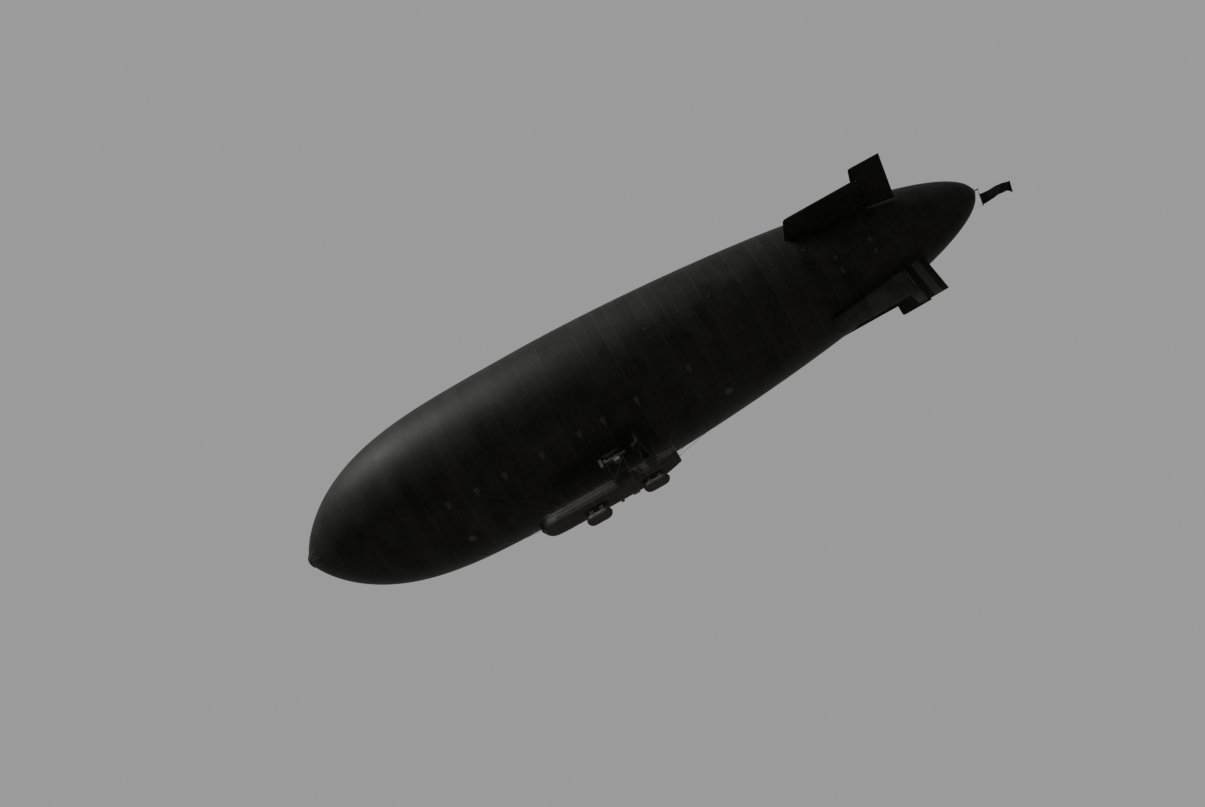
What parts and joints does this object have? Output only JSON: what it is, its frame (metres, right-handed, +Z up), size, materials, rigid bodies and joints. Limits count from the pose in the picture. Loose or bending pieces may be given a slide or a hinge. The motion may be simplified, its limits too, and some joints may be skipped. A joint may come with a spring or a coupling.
{
  "type": "half-scale (1:2) model of an airship",
  "caption": "Half-scale airship: streamlined fabric hull, open car on cables with bumper bags below, engines on outriggers, cross tail with rudder and elevators, and a streaming flag.",
  "frame": {"origin": "on the hull's axis at its centre of lift, where the air holds the ship up", "axes": "+X aft along the hull's axis from nose to tail, +Y to starboard, +Z up"},
  "size_m": [31.2742, 8.18, 9.1652],
  "materials": {
    "hull_fabric": "grey doped cotton with crosswise panel seams",
    "fin_fabric": "grey doped cotton over ribs",
    "car_paint": "dark grey paint over plywood, satin",
    "ash_wood": "varnished ash",
    "airscrew_wood": "varnished laminated walnut",
    "steel": "dull steel wire and tube",
    "engine_metal": "dark enamelled castings",
    "radiator_brass": "dulled brass honeycomb",
    "fitting_metal": "spun metal, dull",
    "bag_rubber": "rubbered canvas",
    "flag_cloth": "plain dark bunting",
    "window": "clear sheet in thin frames"
  },
  "bodies": {
    "body": {"envelope": "hull_fabric", "nose_cap": "fitting_metal", "fore_gas_valve": "fitting_metal", "aft_gas_valve": "fitting_metal", "fore_air_valve": "fitting_metal", "aft_air_valve": "fitting_metal", "tail_staff": "fitting_metal", "flag": "flag_cloth", "car_hull": "car_paint", "car_floor": "ash_wood", "pilot_bench": "ash_wood", "crew_bench": "ash_wood", "engineer_bench": "ash_wood", "rudder_wheel": "ash_wood", "elevator_wheel": "ash_wood", "instrument_board": "ash_wood", "fuel_tank": "fitting_metal", "fore_windscreen": "window", "aft_windscreen": "window", "fore_bumper_bag": "bag_rubber", "aft_bumper_bag": "bag_rubber", "fore_bag_rack": "ash_wood", "aft_bag_rack": "ash_wood", "port_suspension": "steel", "starboard_suspension": "steel", "port_outrigger": "steel", "starboard_outrigger": "steel", "port_engine": "engine_metal", "starboard_engine": "engine_metal", "port_radiator": "radiator_brass", "starboard_radiator": "radiator_brass", "port_oil_tank": "engine_metal", "starboard_oil_tank": "engine_metal", "port_air_scoop": "hull_fabric", "starboard_air_scoop": "hull_fabric", "top_fin": "fin_fabric", "bottom_fin": "fin_fabric", "port_stabilizer": "fin_fabric", "starboard_stabilizer": "fin_fabric"},
    "rudder": {"rudder": "fin_fabric"},
    "port_elevator": {"port_elevator": "fin_fabric"},
    "starboard_elevator": {"starboard_elevator": "fin_fabric"},
    "port_propeller": {"port_propeller": "airscrew_wood"},
    "starboard_propeller": {"starboard_propeller": "airscrew_wood"}
  },
  "joints": [
    {"name": "rudder_hinge", "type": "hinge", "parent": "body", "child": "rudder", "pos_m": [12.26, 0, -2.75], "axis": [0, 0, 1], "range_deg": [-30, 30]},
    {"name": "port_elevator_hinge", "type": "hinge", "parent": "body", "child": "port_elevator", "pos_m": [12.26, -2.7, 0], "axis": [0, 1, 0], "range_deg": [-25, 25]},
    {"name": "starboard_elevator_hinge", "type": "hinge", "parent": "body", "child": "starboard_elevator", "pos_m": [12.26, 2.7, 0], "axis": [0, 1, 0], "range_deg": [-25, 25]},
    {"name": "port_propeller_shaft", "type": "hinge", "parent": "body", "child": "port_propeller", "pos_m": [-0.39, -0.95, -4.13], "axis": [1, 0, 0], "continuous": true},
    {"name": "starboard_propeller_shaft", "type": "hinge", "parent": "body", "child": "starboard_propeller", "pos_m": [-0.39, 0.95, -4.13], "axis": [1, 0, 0], "continuous": true}
  ],
  "couplings": [
    {"joint": "starboard_elevator_hinge", "follows": "port_elevator_hinge", "ratio": 1}
  ]
}
